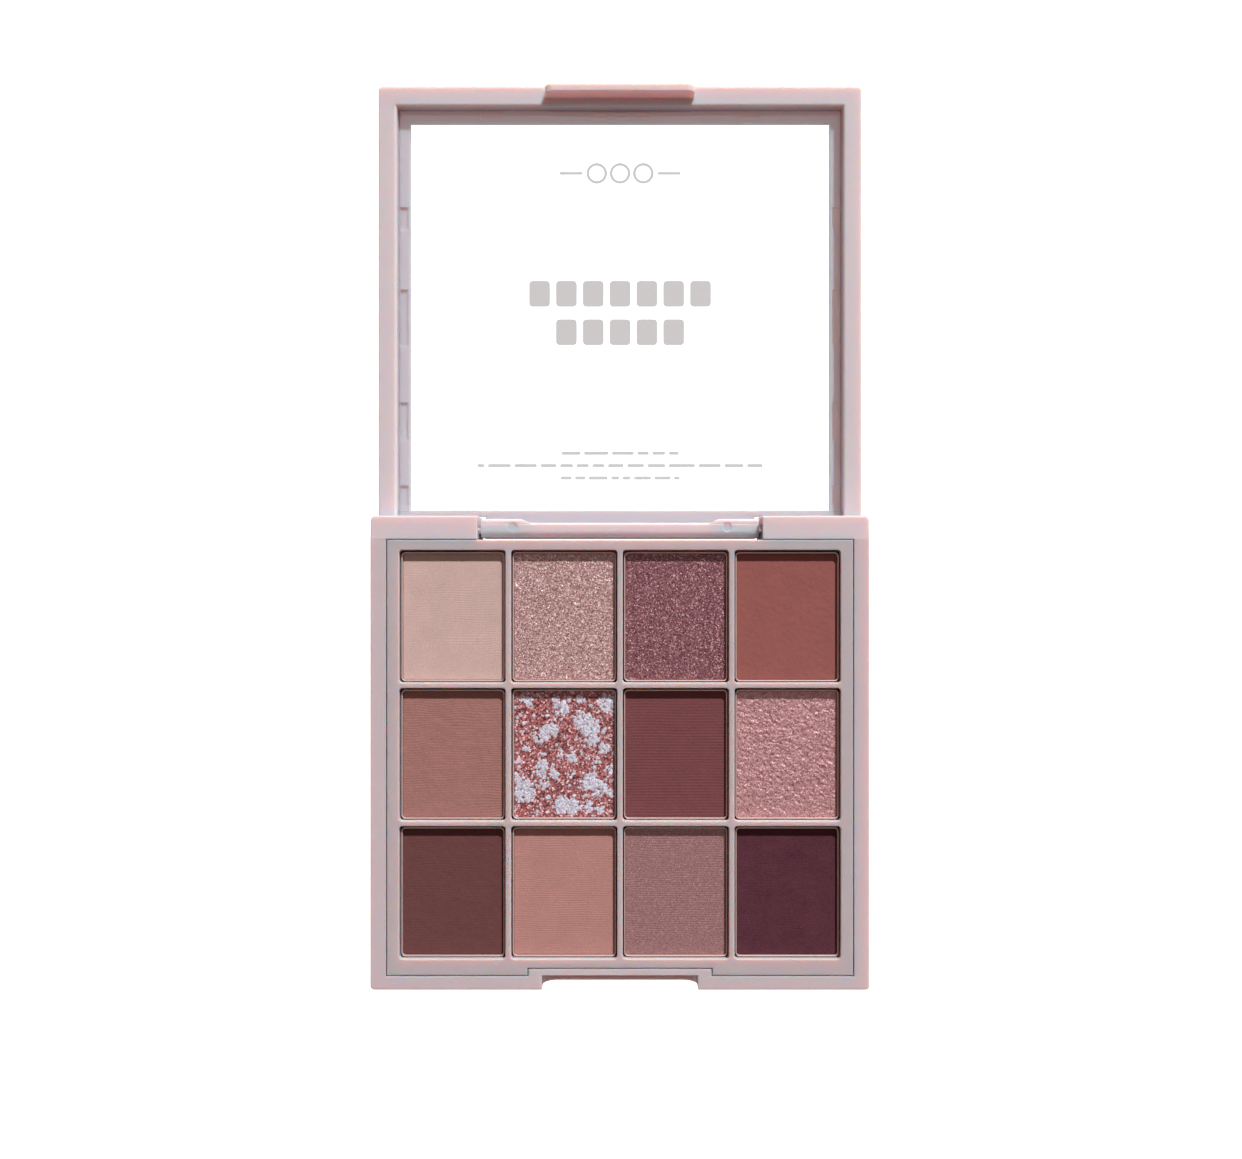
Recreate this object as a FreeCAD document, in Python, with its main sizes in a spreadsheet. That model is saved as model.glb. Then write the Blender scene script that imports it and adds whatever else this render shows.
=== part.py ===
import FreeCAD, Part
import math
import os

import Sketcher

# Eyeshadow palette with twelve pans, lying open. Millimetres.
# +Z is up, +X to the right and +Y towards the opened lid.
# The origin is on the table, straight under the hinge axis.

DIMS = {
    # Case
    "case_width": 95.0,
    "reach": 87.5,            # from the hinge axis to the front of the base and of the lid
    "base_height": 12.0,
    "base_back": 2.72,        # the base's rear face, behind the axis
    "rim_wall": 3.0,
    "front_wall": 2.62,
    "floor_thick": 1.5,
    "corner_round": 0.8,
    "edge_round": 0.35,
    "fine_round": 0.15,
    # Hinge
    "axis_height": 8.05,
    "ear_front": 1.75,        # front face of the hinge ears, before the axis
    "ear_inner": 27.25,       # from the middle plane to an ear
    "ear_fall": 0.65,         # how far the top of an ear falls towards its rear edge
    "slot_sill": 2.5,         # height of the low wall across the front of the hinge slot
    "pin_radius": 0.75,
    "pin_length": 28.0,
    "pin_outer": 47.2,        # from the middle plane to a pin's outer end
    "ear_bore": 0.76,
    "knuckle_bore": 0.79,
    "knuckle_half": 26.7,
    "knuckle_front": 1.37,
    "knuckle_rear": 1.46,
    "knuckle_top": 9.45,
    "knuckle_round": 0.5,     # along its rear top edge
    "knuckle_nose": 1.3,      # along its front top edge
    "block_inner": 19.0,      # the knuckle's thick end blocks start here
    "block_slope": 1.9,
    "block_rear": 2.2,
    "block_low": 5.6,
    "block_down": 0.05,       # how far the end blocks stay under the knuckle's top
    "block_round": 0.5,
    "mark_radius": 0.85,      # round ejector marks on the end blocks
    "mark_place": 20.6,
    "mark_behind": 0.7,
    "mark_deep": 0.2,
    "bore_spare": 0.3,        # how much deeper the knuckle's bore is than its pin reaches
    # Front notch and latch
    "notch_half": 14.87,
    "notch_deep": 2.85,
    "notch_low": 5.8,
    "notch_round": 2.75,
    "step_half": 17.4,        # the wall behind the notch is set back over this half width
    "step_deep": 4.0,         # from the base's front face to the back of that wall
    "nub_half": 2.4,
    "nub_low": 9.2,
    "nub_tall": 1.2,
    "nub_proud": 0.2,
    "tab_half": 14.55,
    "tab_inset": 1.15,
    "tab_thick": 1.3,
    "tab_tall": 4.2,
    "tab_round": 1.5,
    "catch_proud": 0.1,
    "bead_low": 0.9,          # the tab's bead lies between these distances from its tip
    "bead_high": 0.2,
    # Tray with the wells
    "tray_gap": 0.2,
    "flange_low": 11.0,
    "tray_rear": 1.9,
    "skirt_rear": 2.72,
    "skirt_low": 1.6,
    "skirt_gap": 0.12,
    "well_wide": 20.2,
    "well_deep": 25.2,
    "bar_wide": 1.05,         # bar between two columns
    "bar_deep": 1.05,         # bar between two rows
    "rows_middle": 42.7,      # from the axis to the middle of the rows
    "well_floor": 8.05,
    "well_floor_thick": 1.0,
    "well_round": 0.6,
    # Pans and pressed powder
    "pan_wide": 19.75,
    "pan_deep": 24.7,
    "pan_tall": 2.8,
    "pan_wall": 0.27,
    "pan_round": 0.85,
    "pan_draw": 0.35,         # outer rounding of a pan's floor
    "pan_edge": 0.1,          # rounding of a pan's rim
    "pan_shift": 0.12,        # how far a pan sits from its well's middle, towards the front
    "glue_thick": 0.15,
    "glue_radius": 3.0,
    "cake_tall": 2.0,
    # Lid
    "lid_thick": 4.0,
    "lid_rear": 2.97,
    "side_rail": 3.65,
    "front_rail": 4.0,
    "lip_thick": 1.2,
    "hole_half": 41.7,
    "hole_rear": 4.28,
    "hole_front": 81.2,
    "window_gap": 0.15,
    "window_seat": 0.01,      # film of adhesive between the lip and the window
    "tongue_half": 26.4,      # the window reaches back to the knuckle over this half width
    "window_thick": 1.2,
    "boss_low": 0.05,
    "upstand_thick": 0.8,
    "upstand_top": 3.8,
    "upstand_inner": 27.6,
    "pocket_deep": 0.4,
    "pocket_wide": 1.5,
    "pocket_inset": 0.25,
    "lug_gap": 0.1,
    "seat_round": 0.55,
    # Label underneath
    "label_half": 30.0,
    "label_deep": 34.0,
    "label_recess": 0.2,
    "label_thick": 0.15,
    "label_gap": 0.2,
    # How far a cut runs past the faces it opens
    "spare": 0.5,
}
CLOSE = 0.02                  # lengths that differ by less count as equal
LEAST_CHANGE = 1e-4           # the volume in mm3 that a pad or a pocket has to change
COLUMNS = 4
ROWS = 3
# Places of the snap pockets in the lid's lip: middle and half length, along the front and along both sides.
FRONT_POCKETS = ((-25.6, 2.1), (-4.3, 1.7), (0.0, 1.2), (4.3, 1.7), (25.6, 2.1))
SIDE_POCKETS = ((62.3, 2.2), (42.5, 5.6), (22.0, 3.7), (7.2, 2.0))

doc = FreeCAD.newDocument("palette")
sheet = doc.addObject("Spreadsheet::Sheet", "dims")
for row, (alias, number) in enumerate(DIMS.items(), start=1):
    sheet.set("A%d" % row, alias)
    sheet.set("B%d" % row, str(number))
    sheet.setAlias("B%d" % row, alias)
doc.recompute()

subparts = []


def new_body(label):
    """An empty body that becomes the sub-part of that name."""
    body = doc.addObject("PartDesign::Body", label)
    body.Label = label
    subparts.append(body)
    return body


def new_sketch(body, role, height):
    """A sketch on one of the body's origin planes, moved along the plane's normal."""
    sketch = body.newObject("Sketcher::SketchObject", "sketch")
    plane = next(f for f in body.Origin.OriginFeatures if f.Role == role)
    sketch.AttachmentSupport = [(plane, "")]
    sketch.MapMode = "FlatFace"
    sketch.setExpression("AttachmentOffset.Base.z", height)
    return sketch


def bind(sketch, constraint, expression):
    """Adds a constraint whose size follows an expression."""
    index = sketch.addConstraint(constraint)
    sketch.setExpression("Constraints[%d]" % index, expression)


def add_loop(sketch, corners):
    """A closed outline of straight lines through corners, each a pair of expressions."""
    first = sketch.GeometryCount
    count = len(corners)
    turns = [2 * math.pi * k / count for k in range(count)]
    spots = [FreeCAD.Vector(math.cos(turn), math.sin(turn), 0) for turn in turns]
    for k in range(count):
        sketch.addGeometry(Part.LineSegment(spots[k], spots[(k + 1) % count]), False)
    for k in range(count):
        following = first + (k + 1) % count
        sketch.addConstraint(Sketcher.Constraint("Coincident", first + k, 2, following, 1))
    for k, (across, along) in enumerate(corners):
        spot = spots[k]
        bind(sketch, Sketcher.Constraint("DistanceX", -1, 1, first + k, 1, spot.x), across)
        bind(sketch, Sketcher.Constraint("DistanceY", -1, 1, first + k, 1, spot.y), along)


def outline(body, role, height, *loops):
    """A sketch that holds one or more closed outlines."""
    sketch = new_sketch(body, role, height)
    for corners in loops:
        add_loop(sketch, corners)
    return sketch


def rectangle(low_x, high_x, low_y, high_y):
    """The four corners of a rectangle, as expressions."""
    return [(low_x, low_y), (high_x, low_y), (high_x, high_y), (low_x, high_y)]


def circle(body, role, height, across, along, radius):
    """A sketch of one circle."""
    sketch = new_sketch(body, role, height)
    index = sketch.addGeometry(Part.Circle(FreeCAD.Vector(1, 1, 0), FreeCAD.Vector(0, 0, 1), 1), False)
    bind(sketch, Sketcher.Constraint("DistanceX", -1, 1, index, 3, 1.0), across)
    bind(sketch, Sketcher.Constraint("DistanceY", -1, 1, index, 3, 1.0), along)
    bind(sketch, Sketcher.Constraint("Radius", index, 1.0), radius)
    return sketch


def extrude(body, kind, sketch, length, reverse=False, both_ways=False):
    """A pad or a pocket, which has to change the body's volume."""
    before = body.Shape.Volume if body.Tip else 0.0
    feature = body.newObject("PartDesign::" + kind, kind)
    feature.Profile = sketch
    feature.setExpression("Length", length)
    feature.Reversed = reverse
    if both_ways:
        feature.Midplane = True
    doc.recompute()
    change = body.Shape.Volume - before
    gain = change if kind == "Pad" else -change
    if gain <= LEAST_CHANGE:
        raise RuntimeError("%s of %s changed the volume by %.4f" % (feature.Name, body.Label, change))
    return feature


def pad(body, sketch, length, **how):
    return extrude(body, "Pad", sketch, length, **how)


def pocket(body, sketch, length, **how):
    return extrude(body, "Pocket", sketch, length, **how)


def near(a, b):
    return abs(a - b) < CLOSE


def dress(body, kind, size, wanted):
    """Rounds or bevels the edges of the body's tip for which wanted(start, end, middle) holds."""
    tip = body.Tip
    names = []
    for number, edge in enumerate(tip.Shape.Edges, start=1):
        ends = [v.Point for v in edge.Vertexes]
        middle = edge.valueAt((edge.FirstParameter + edge.LastParameter) / 2)
        if wanted(ends[0], ends[-1], middle):
            names.append("Edge%d" % number)
    if not names:
        raise RuntimeError("no edges to %s on %s" % (kind, body.Label))
    feature = body.newObject("PartDesign::" + kind, kind)
    feature.Base = (tip, names)
    feature.setExpression("Radius" if kind == "Fillet" else "Size", size)
    doc.recompute()
    if not feature.Shape.isValid() or feature.Shape.isNull():
        raise RuntimeError("%s failed on %s" % (kind, body.Label))
    return feature


def fillet(body, size, wanted):
    return dress(body, "Fillet", size, wanted)


def chamfer(body, size, wanted):
    return dress(body, "Chamfer", size, wanted)


def upright(start, end):
    """True for an edge that runs along Z."""
    return near(start.x, end.x) and near(start.y, end.y) and not near(start.z, end.z)


def cell_centre(column, row):
    """The middle of a well, as two expressions. Column 0 is on the left and row 0 by the hinge."""
    across = "(%s) * (dims.well_wide + dims.bar_wide)" % (column - (COLUMNS - 1) / 2)
    along = "-dims.rows_middle + (%s) * (dims.well_deep + dims.bar_deep)" % ((ROWS - 1) / 2 - row)
    return across, along


def cell_rectangle(column, row):
    """The outline of a well."""
    across, along = cell_centre(column, row)
    return rectangle(
        across + " - dims.well_wide / 2",
        across + " + dims.well_wide / 2",
        along + " - dims.well_deep / 2",
        along + " + dims.well_deep / 2",
    )


CELLS = [(column, row) for row in range(ROWS) for column in range(COLUMNS)]


def stepped_outline(gap, rear):
    """The inside of the rim, with the step round the finger notch, drawn in by a gap."""
    side = "(dims.case_width / 2 - dims.rim_wall - %s)" % gap
    front = "-(dims.reach - dims.front_wall - %s)" % gap
    step = "(dims.step_half + %s)" % gap
    back_step = "-(dims.reach - dims.step_deep - %s)" % gap
    return [
        ("-" + side, front),
        ("-" + step, front),
        ("-" + step, back_step),
        (step, back_step),
        (step, front),
        (side, front),
        (side, rear),
        ("-" + side, rear),
    ]


def make_base_shell():
    body = new_body("base_shell")
    half = "dims.case_width / 2"
    whole = rectangle("-" + half, half, "-dims.reach", "dims.base_back")
    pad(body, outline(body, "XY_Plane", "0", whole), "dims.base_height")
    fillet(body, "dims.corner_round", lambda a, b, m: upright(a, b))
    # The inside, then the shelf behind it that the tray's rear edge covers.
    inside = stepped_outline("0", "-dims.skirt_rear + dims.skirt_gap")
    hollow = outline(body, "XY_Plane", "dims.base_height", inside)
    pocket(body, hollow, "dims.base_height - dims.floor_thick")
    inner = "(dims.case_width / 2 - dims.rim_wall)"
    shelf = rectangle("-" + inner, inner, "-dims.skirt_rear", "-dims.ear_front")
    pocket(body, outline(body, "XY_Plane", "dims.base_height", shelf), "dims.base_height - dims.flange_low")
    # The slot between the ears, open above and below, and the gap over its sill.
    slot = rectangle("-dims.ear_inner", "dims.ear_inner", "-dims.ear_front", "dims.base_back + dims.spare")
    pocket(body, outline(body, "XY_Plane", "dims.base_height", slot), "dims.base_height")
    gap = rectangle("-dims.ear_inner", "dims.ear_inner", "-dims.skirt_rear", "-dims.ear_front + dims.spare")
    pocket(body, outline(body, "XY_Plane", "dims.base_height", gap), "dims.base_height - dims.slot_sill")
    # The top of each ear falls a little towards the rear.
    fall = [
        ("-dims.ear_front", "dims.base_height"),
        ("dims.base_back + dims.spare", "dims.base_height - dims.ear_fall"),
        ("dims.base_back + dims.spare", "dims.base_height + dims.spare"),
        ("-dims.ear_front", "dims.base_height + dims.spare"),
    ]
    pocket(body, outline(body, "YZ_Plane", "0", fall), "dims.case_width + dims.spare", both_ways=True)
    # The finger notch and the catch on its rear wall.
    above = "dims.base_height + dims.spare"
    notch = rectangle("-dims.notch_half", "dims.notch_half", "dims.notch_low", above)
    pocket(body, outline(body, "XZ_Plane", "dims.reach", notch), "dims.notch_deep")
    low = DIMS["notch_low"]
    fillet(body, "dims.notch_round", lambda a, b, m: near(a.z, low) and near(b.z, low) and near(a.x, b.x))
    nub = rectangle("-dims.nub_half", "dims.nub_half", "dims.nub_low", "dims.nub_low + dims.nub_tall")
    pad(body, outline(body, "XZ_Plane", "dims.reach - dims.notch_deep", nub), "dims.nub_proud")
    # Bores for the hinge pins, from one side face to the other.
    bore = circle(body, "YZ_Plane", "0", "0", "dims.axis_height", "dims.ear_bore")
    pocket(body, bore, "dims.case_width + dims.spare", both_ways=True)
    # A shallow recess for the label underneath.
    label = rectangle(
        "-dims.label_half", "dims.label_half", "-dims.rows_middle - dims.label_deep / 2",
        "-dims.rows_middle + dims.label_deep / 2",
    )
    pocket(body, outline(body, "XY_Plane", "0", label), "dims.label_recess", reverse=True)
    # Outer edges, top and bottom, without the notch's.
    top = DIMS["base_height"]
    side = DIMS["case_width"] / 2
    front = -DIMS["reach"]
    back = DIMS["base_back"]

    def outside(point):
        return near(abs(point.x), side) or near(point.y, front) or near(point.y, back)

    def top_outer(a, b, m):
        high = min(a.z, b.z, m.z) > top - DIMS["ear_fall"] - CLOSE
        return high and outside(a) and outside(b) and not upright(a, b)

    fillet(body, "dims.edge_round", top_outer)


def make_pan_tray():
    body = new_body("pan_tray")
    skirt = stepped_outline("dims.tray_gap", "-dims.skirt_rear")
    pad(body, outline(body, "XY_Plane", "dims.skirt_low", skirt), "dims.flange_low - dims.skirt_low")
    flange = stepped_outline("dims.tray_gap", "-dims.tray_rear")
    pad(body, outline(body, "XY_Plane", "dims.flange_low", flange), "dims.base_height - dims.flange_low")
    wells = [cell_rectangle(column, row) for column, row in CELLS]
    wells_above = outline(body, "XY_Plane", "dims.base_height", *wells)
    pocket(body, wells_above, "dims.base_height - dims.well_floor")
    cells = outline(body, "XY_Plane", "dims.skirt_low", *wells)
    pocket(body, cells, "dims.well_floor - dims.well_floor_thick - dims.skirt_low", reverse=True)
    top = DIMS["base_height"]
    floor = DIMS["well_floor"]
    fillet(body, "dims.well_round", lambda a, b, m: upright(a, b) and near(max(a.z, b.z), top) and
           near(min(a.z, b.z), floor))
    fillet(body, "dims.fine_round", lambda a, b, m: near(a.z, top) and near(b.z, top))


def make_pan(name, column, row):
    """One drawn metal pan: a floor and four walls with round corners."""
    body = new_body("pan_" + name)
    half_x = "dims.pan_wide / 2"
    half_y = "dims.pan_deep / 2"
    whole = rectangle("-" + half_x, half_x, "-" + half_y, half_y)
    pad(body, outline(body, "XY_Plane", "0", whole), "dims.pan_tall")
    fillet(body, "dims.pan_round", lambda a, b, m: upright(a, b))
    fillet(body, "dims.pan_draw", lambda a, b, m: near(a.z, 0) and near(b.z, 0))
    x = "(dims.pan_wide / 2 - dims.pan_wall)"
    y = "(dims.pan_deep / 2 - dims.pan_wall)"
    inside = outline(body, "XY_Plane", "dims.pan_tall", rectangle("-" + x, x, "-" + y, y))
    pocket(body, inside, "dims.pan_tall - dims.pan_wall")
    wall = DIMS["pan_wall"]
    fillet(body, "dims.pan_round - dims.pan_wall",
           lambda a, b, m: upright(a, b) and near(min(a.z, b.z), wall))
    rim = DIMS["pan_tall"]
    fillet(body, "dims.pan_edge", lambda a, b, m: near(a.z, rim) and near(b.z, rim))
    place_in_well(body, column, row, "dims.well_floor + dims.glue_thick")


def make_cake(name, column, row):
    """One cake of pressed powder, which fills its pan to below the rim."""
    body = new_body("powder_" + name)
    x = "(dims.pan_wide / 2 - dims.pan_wall)"
    y = "(dims.pan_deep / 2 - dims.pan_wall)"
    pad(body, outline(body, "XY_Plane", "0", rectangle("-" + x, x, "-" + y, y)), "dims.cake_tall")
    fillet(body, "dims.pan_round - dims.pan_wall", lambda a, b, m: upright(a, b))
    place_in_well(body, column, row, "dims.well_floor + dims.glue_thick + dims.pan_wall")


def place_in_well(body, column, row, height):
    across, along = cell_centre(column, row)
    body.setExpression("Placement.Base.x", across)
    body.setExpression("Placement.Base.y", along + " - dims.pan_shift")
    body.setExpression("Placement.Base.z", height)


def make_glue_dots():
    """A flat dot of glue under each pan, all in one node."""
    dots = []
    for column, row in CELLS:
        dot = doc.addObject("Part::Cylinder", "glue_dot")
        dot.setExpression("Radius", "dims.glue_radius")
        dot.setExpression("Height", "dims.glue_thick")
        place_in_well(dot, column, row, "dims.well_floor")
        dots.append(dot)
    group = doc.addObject("Part::Compound", "pan_glue_dots")
    group.Links = dots
    group.Label = "pan_glue_dots"
    subparts.append(group)


def make_pin(label, side):
    """A steel hinge pin, in from one side of the base: side is -1 on the left and 1 on the right."""
    body = new_body(label)
    start = "dims.pin_outer - dims.pin_length" if side > 0 else "-dims.pin_outer"
    rod = circle(body, "YZ_Plane", start, "0", "dims.axis_height", "dims.pin_radius")
    pad(body, rod, "dims.pin_length")
    chamfer(body, "dims.fine_round", lambda a, b, m: True)


def make_lid_frame():
    body = new_body("lid_frame")
    half = "dims.case_width / 2"
    whole = rectangle("-" + half, half, "dims.lid_rear", "dims.reach")
    pad(body, outline(body, "XY_Plane", "0", whole), "dims.lid_thick")
    front = DIMS["reach"]
    fillet(body, "dims.corner_round", lambda a, b, m: upright(a, b) and near(a.y, front))
    # The seat of the window, open towards the hinge, and the window's hole in it.
    side = "(dims.case_width / 2 - dims.side_rail)"
    seat = rectangle("-" + side, side, "dims.lid_rear - dims.spare", "dims.reach - dims.front_rail")
    pocket(body, outline(body, "XY_Plane", "dims.lid_thick", seat), "dims.lid_thick - dims.lip_thick")
    hole = rectangle("-dims.hole_half", "dims.hole_half", "dims.hole_rear", "dims.hole_front")
    pocket(body, outline(body, "XY_Plane", "dims.lip_thick", hole), "dims.lip_thick + dims.spare")
    # The knuckle: a wall that stands on the table under the axis, joined to the lip by a low web.
    knuckle = [
        ("-dims.knuckle_front", "0"),
        ("dims.lid_rear + dims.spare", "0"),
        ("dims.lid_rear + dims.spare", "dims.lip_thick"),
        ("dims.knuckle_rear", "dims.lip_thick"),
        ("dims.knuckle_rear", "dims.knuckle_top"),
        ("-dims.knuckle_front", "dims.knuckle_top"),
    ]
    pad(body, outline(body, "YZ_Plane", "0", knuckle), "2 * dims.knuckle_half", both_ways=True)
    crest = DIMS["knuckle_top"]
    rounds = (
        ("dims.knuckle_round", DIMS["knuckle_rear"]),
        ("dims.knuckle_nose", -DIMS["knuckle_front"]),
    )
    for size, edge_y in rounds:
        fillet(body, size,
               lambda a, b, m: near(m.z, crest) and near(a.y, edge_y) and near(b.y, edge_y))
    for sign in ("", "-"):
        block = [
            (sign + "dims.knuckle_half", "0"),
            (sign + "dims.knuckle_half", "dims.block_rear"),
            (sign + "dims.block_inner", "dims.block_rear"),
            (sign + "(dims.block_inner - dims.block_slope)", "dims.knuckle_rear - dims.fine_round"),
            (sign + "(dims.block_inner - dims.block_slope)", "0"),
        ]
        pad(body, outline(body, "XY_Plane", "dims.block_low", block),
            "dims.knuckle_top - dims.block_down - dims.block_low")
    block_top = crest - DIMS["block_down"]
    rear = DIMS["block_rear"]
    fillet(body, "dims.block_round", lambda a, b, m: near(a.z, block_top) and near(b.z, block_top) and
           near(m.y, rear) and near(a.y, rear))
    for sign in ("", "-"):
        mark = circle(body, "XY_Plane", "dims.knuckle_top", sign + "dims.mark_place", "dims.mark_behind",
                      "dims.mark_radius")
        pocket(body, mark, "dims.mark_deep")
    for far_end, reverse in (("dims.knuckle_half", False), ("-dims.knuckle_half", True)):
        sketch = circle(body, "YZ_Plane", far_end, "0", "dims.axis_height", "dims.knuckle_bore")
        pocket(body, sketch, "dims.knuckle_half - (dims.pin_outer - dims.pin_length) + dims.bore_spare",
               reverse=reverse)
    # The latch tab, set in from the front face, with its catch bead.
    tab_back = "(dims.reach - dims.tab_inset - dims.tab_thick)"
    tab = rectangle(
        "-dims.tab_half", "dims.tab_half", "dims.lid_thick - dims.spare", "dims.lid_thick + dims.tab_tall",
    )
    pad(body, outline(body, "XZ_Plane", "-" + tab_back, tab), "dims.tab_thick", reverse=True)
    tip = DIMS["lid_thick"] + DIMS["tab_tall"]
    tab_half = DIMS["tab_half"]
    fillet(body, "dims.tab_round", lambda a, b, m: near(a.z, tip) and near(b.z, tip) and near(a.x, b.x) and
           near(abs(a.x), tab_half))
    bead = rectangle(
        "-dims.nub_half", "dims.nub_half", "dims.lid_thick + dims.tab_tall - dims.bead_low",
        "dims.lid_thick + dims.tab_tall - dims.bead_high",
    )
    pad(body, outline(body, "XZ_Plane", "-" + tab_back, bead), "dims.catch_proud")
    # Blind pockets in the lip that the window's lugs snap into.
    pockets = [pocket_rectangle(*place, grow="0") for place in pocket_places()]
    pocket(body, outline(body, "XY_Plane", "dims.lip_thick", *pockets), "dims.pocket_deep")
    # Soft edges on the rails and on the window's hole.
    rail_top = DIMS["lid_thick"]
    case_side = DIMS["case_width"] / 2

    def rail_edge(a, b, m):
        level = near(a.z, rail_top) and near(b.z, rail_top) and near(m.z, rail_top)
        tab_side = near(abs(a.x), tab_half) and near(abs(b.x), tab_half)
        return level and not tab_side and m.y > DIMS["lid_rear"]

    def outer_edge(point):
        return near(abs(point.x), case_side) or near(point.y, front)

    fillet(body, "dims.edge_round", lambda a, b, m: rail_edge(a, b, m) and outer_edge(m))
    inner = case_side - DIMS["side_rail"]
    seat_front = front - DIMS["front_rail"]
    fillet(body, "dims.seat_round", lambda a, b, m: rail_edge(a, b, m) and
           (near(abs(m.x), inner) or near(m.y, seat_front)))
    fillet(body, "dims.edge_round", lambda a, b, m: near(a.z, 0) and near(b.z, 0) and outer_edge(m))


def pocket_places():
    """Each pocket's side of the window (front, left or right), its middle and its half length."""
    front = [("front", middle, half) for middle, half in FRONT_POCKETS]
    sides = [(side, middle, half) for side in ("left", "right") for middle, half in SIDE_POCKETS]
    return front + sides


def pocket_rectangle(side, middle, half, grow):
    """A pocket's outline, as far inside the rail as the inset says, made larger or smaller by grow."""
    long_low = "%s - (%s)" % (middle - half, grow)
    long_high = "%s + (%s)" % (middle + half, grow)
    if side == "front":
        wall = "(dims.reach - dims.front_rail)"
        near_wall = wall + " - dims.pocket_inset + (%s)" % grow
        far_wall = wall + " - dims.pocket_inset - dims.pocket_wide - (%s)" % grow
        return rectangle(long_low, long_high, far_wall, near_wall)
    wall = "(dims.case_width / 2 - dims.side_rail)"
    sign = "-" if side == "left" else ""
    near_wall = "%s(%s - dims.pocket_inset + (%s))" % (sign, wall, grow)
    far_wall = "%s(%s - dims.pocket_inset - dims.pocket_wide - (%s))" % (sign, wall, grow)
    if side == "left":
        return rectangle(near_wall, far_wall, long_low, long_high)
    return rectangle(far_wall, near_wall, long_low, long_high)


def make_lid_window():
    body = new_body("lid_window")
    side = "(dims.case_width / 2 - dims.side_rail - dims.window_gap)"
    front = "(dims.reach - dims.front_rail - dims.window_gap)"
    rear = "(dims.lid_rear + dims.window_gap)"
    tongue = "dims.tongue_half"
    tongue_rear = "dims.knuckle_rear + dims.window_gap"
    sheet_outline = [
        ("-" + side, rear),
        ("-" + tongue, rear),
        ("-" + tongue, tongue_rear),
        (tongue, tongue_rear),
        (tongue, rear),
        (side, rear),
        (side, front),
        ("-" + side, front),
    ]
    under = "(dims.lip_thick + dims.window_seat)"
    pad(body, outline(body, "XY_Plane", under, sheet_outline), "dims.window_thick")
    # A boss fills the hole in the lip, flush with the outside of the lid.
    boss = rectangle(
        "-(dims.hole_half - dims.window_gap)", "dims.hole_half - dims.window_gap",
        "dims.hole_rear + dims.window_gap", "dims.hole_front - dims.window_gap",
    )
    pad(body, outline(body, "XY_Plane", "dims.boss_low", boss), under + " - dims.boss_low")
    # Lugs in the lip's pockets.
    lugs = [pocket_rectangle(*place, grow="-dims.lug_gap") for place in pocket_places()]
    lug_low = "(dims.lip_thick - dims.pocket_deep + dims.lug_gap)"
    pad(body, outline(body, "XY_Plane", lug_low, *lugs), under + " - " + lug_low)
    # Upstands that close the rear corners.
    high = "(%s + dims.window_thick)" % under
    for low_x, high_x in (("-" + side, "-dims.upstand_inner"), ("dims.upstand_inner", side)):
        upstand = rectangle(low_x, high_x, rear, rear + " + dims.upstand_thick")
        pad(body, outline(body, "XY_Plane", high, upstand), "dims.upstand_top - " + high)
    top = DIMS["lip_thick"] + DIMS["window_seat"] + DIMS["window_thick"]
    beyond_hinge = DIMS["hole_rear"]
    fillet(body, "dims.fine_round",
           lambda a, b, m: near(a.z, top) and near(b.z, top) and m.y > beyond_hinge)


def make_label():
    body = new_body("bottom_label")
    gap = "dims.label_gap"
    rows = "dims.rows_middle"
    paper = rectangle(
        "-(dims.label_half - %s)" % gap, "dims.label_half - %s" % gap,
        "-%s - dims.label_deep / 2 + %s" % (rows, gap),
        "-%s + dims.label_deep / 2 - %s" % (rows, gap),
    )
    pad(body, outline(body, "XY_Plane", "dims.label_recess - dims.label_thick", paper), "dims.label_thick")
    fillet(body, "dims.corner_round", lambda a, b, m: upright(a, b))


def well_name(column, row):
    """Rows a to c from the hinge to the front, columns 1 to 4 from left to right."""
    return "abc"[row] + str(column + 1)


make_base_shell()
make_pan_tray()
for column, row in CELLS:
    make_pan(well_name(column, row), column, row)
    make_cake(well_name(column, row), column, row)
make_glue_dots()
make_pin("hinge_pin_left", -1)
make_pin("hinge_pin_right", 1)
make_lid_frame()
make_lid_window()
make_label()
doc.recompute()

for item in doc.Objects:
    if "Invalid" in item.State or "Error" in item.State:
        raise RuntimeError("%s is %s" % (item.Label, item.State))
for part in subparts:
    if part.Shape.isNull() or not part.Shape.isValid():
        raise RuntimeError("%s has no valid shape" % part.Label)

os.makedirs("parts", exist_ok=True)
for part in subparts:
    part.Shape.exportStep("parts/%s.step" % part.Label)
    box = part.Shape.BoundBox
    print("%-18s %8.2f mm3  x %.2f..%.2f  y %.2f..%.2f  z %.2f..%.2f  solids %d" % (
        part.Label, part.Shape.Volume, box.XMin, box.XMax, box.YMin, box.YMax, box.ZMin, box.ZMax,
        len(part.Shape.Solids)))
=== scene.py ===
import math

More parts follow.
